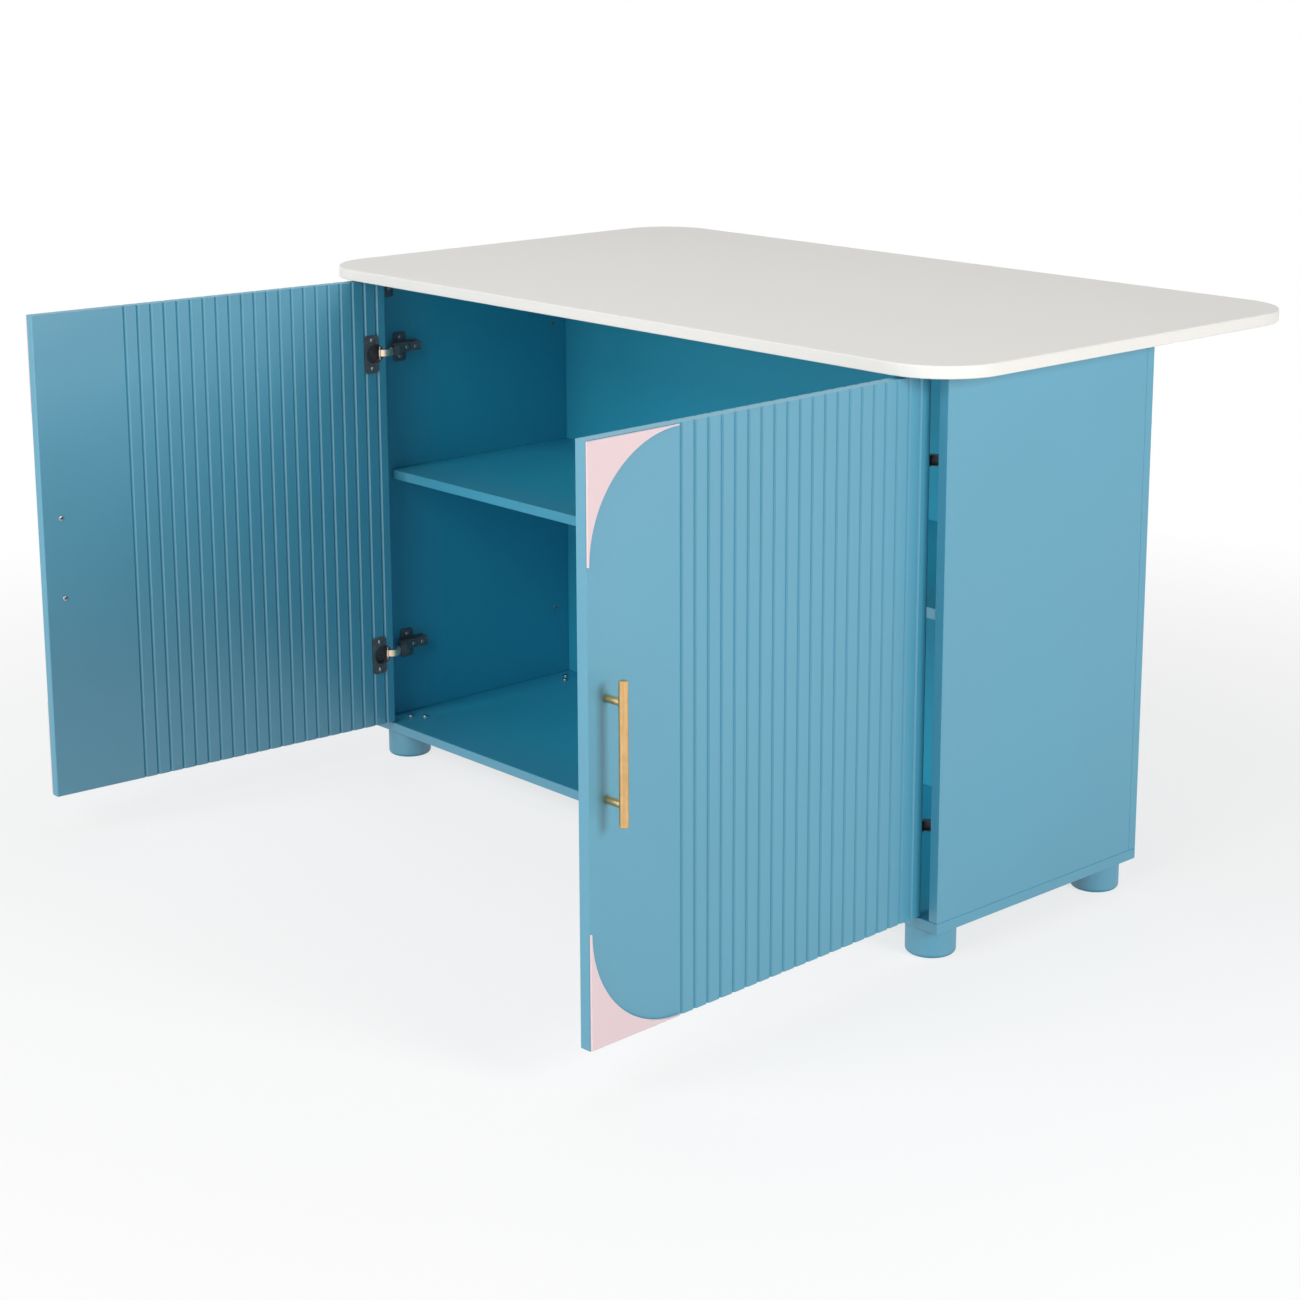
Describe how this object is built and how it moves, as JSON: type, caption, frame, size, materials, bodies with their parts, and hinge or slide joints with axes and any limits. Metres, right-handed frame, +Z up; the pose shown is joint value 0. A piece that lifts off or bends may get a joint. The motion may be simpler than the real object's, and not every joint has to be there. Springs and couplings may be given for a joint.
{
  "type": "kitchen counter cabinet",
  "caption": "Kitchen counter cabinet with grooved inset doors on concealed hinges, brass bar handles, an inner shelf, short round feet and a wide overhanging worktop with round corners.",
  "frame": {"origin": "on the floor under the middle of the box that the cabinet fills with its doors open as modelled", "axes": "+Z up, +X to the right of someone facing the doors, +Y from the doors towards the back"},
  "size_m": [1.4, 1.362, 0.85],
  "materials": {
    "white_worktop": "satin white lacquer on board",
    "blue_lacquer": "matt blue lacquer on board",
    "pink_lacquer": "matt pale pink lacquer on board",
    "brushed_brass": "satin brushed brass",
    "gunmetal_steel": "dark gunmetal plating",
    "nickel_steel": "bright nickel plating",
    "zinc_steel": "zinc plating"
  },
  "bodies": {
    "cabinet": {"arm_pins": "zinc_steel", "arm_screws": "zinc_steel", "back_bolts": "zinc_steel", "back_panel": "blue_lacquer", "barrel_nuts": "zinc_steel", "bottom_panel": "blue_lacquer", "bottom_screws": "zinc_steel", "bracket_screws": "zinc_steel", "foot_back_left": "blue_lacquer", "foot_back_right": "blue_lacquer", "foot_bolts": "zinc_steel", "foot_front_left": "blue_lacquer", "foot_front_right": "blue_lacquer", "left_lower_hinge_arm": "gunmetal_steel", "left_lower_hinge_plate": "gunmetal_steel", "left_side_panel": "blue_lacquer", "left_upper_hinge_arm": "gunmetal_steel", "left_upper_hinge_plate": "gunmetal_steel", "plate_screws": "zinc_steel", "right_lower_hinge_arm": "gunmetal_steel", "right_lower_hinge_plate": "gunmetal_steel", "right_side_panel": "blue_lacquer", "right_upper_hinge_arm": "gunmetal_steel", "right_upper_hinge_plate": "gunmetal_steel", "shelf": "blue_lacquer", "shelf_pins": "zinc_steel", "worktop": "white_worktop", "worktop_bracket_back_left": "gunmetal_steel", "worktop_bracket_back_right": "gunmetal_steel", "worktop_bracket_front_left": "gunmetal_steel", "worktop_bracket_front_right": "gunmetal_steel"},
    "right_door": {"right_cup_pins": "zinc_steel", "right_cup_screws": "zinc_steel", "right_door": "blue_lacquer", "right_door_lower_corner": "pink_lacquer", "right_door_upper_corner": "pink_lacquer", "right_handle_bar": "brushed_brass", "right_handle_posts": "brushed_brass", "right_handle_screws": "zinc_steel", "right_lower_hinge_cup": "gunmetal_steel", "right_upper_hinge_cup": "gunmetal_steel"},
    "left_door": {"left_cup_pins": "zinc_steel", "left_cup_screws": "zinc_steel", "left_door": "blue_lacquer", "left_door_lower_corner": "pink_lacquer", "left_door_upper_corner": "pink_lacquer", "left_handle_bar": "brushed_brass", "left_handle_posts": "brushed_brass", "left_handle_screws": "zinc_steel", "left_lower_hinge_cup": "gunmetal_steel", "left_upper_hinge_cup": "gunmetal_steel"},
    "right_upper_link": {"right_upper_hinge_link": "nickel_steel"},
    "right_lower_link": {"right_lower_hinge_link": "nickel_steel"},
    "left_upper_link": {"left_upper_hinge_link": "nickel_steel"},
    "left_lower_link": {"left_lower_hinge_link": "nickel_steel"}
  },
  "joints": [
    {"name": "right_door_swing", "type": "hinge", "parent": "cabinet", "child": "right_upper_link", "pos_m": [0.597, -0.04203, 0.7055], "axis": [0, 0, -1], "range_deg": [-80.04, 4.35]},
    {"name": "right_door_cup_turn", "type": "hinge", "parent": "right_upper_link", "child": "right_door", "pos_m": [0.60031, -0.06379, 0.7055], "axis": [0, 0, 1], "range_deg": [-172.34, 9.65]},
    {"name": "right_lower_link_turn", "type": "hinge", "parent": "cabinet", "child": "right_lower_link", "pos_m": [0.597, -0.04203, 0.1865], "axis": [0, 0, -1], "range_deg": [-80.34, 4.65]},
    {"name": "left_door_swing", "type": "hinge", "parent": "cabinet", "child": "left_upper_link", "pos_m": [-0.597, -0.04203, 0.7055], "axis": [0, 0, 1], "range_deg": [-82.13, 2.26]},
    {"name": "left_door_cup_turn", "type": "hinge", "parent": "left_upper_link", "child": "left_door", "pos_m": [-0.59952, -0.06389, 0.7055], "axis": [0, 0, -1], "range_deg": [-176.83, 5.16]},
    {"name": "left_lower_link_turn", "type": "hinge", "parent": "cabinet", "child": "left_lower_link", "pos_m": [-0.597, -0.04203, 0.1865], "axis": [0, 0, 1], "range_deg": [-82.43, 2.56]}
  ],
  "couplings": [
    {"joint": "right_door_cup_turn", "follows": "right_door_swing", "ratio": 2.1494},
    {"joint": "right_lower_link_turn", "follows": "right_door_swing", "ratio": 1},
    {"joint": "left_door_cup_turn", "follows": "left_door_swing", "ratio": 2.1494},
    {"joint": "left_lower_link_turn", "follows": "left_door_swing", "ratio": 1}
  ]
}
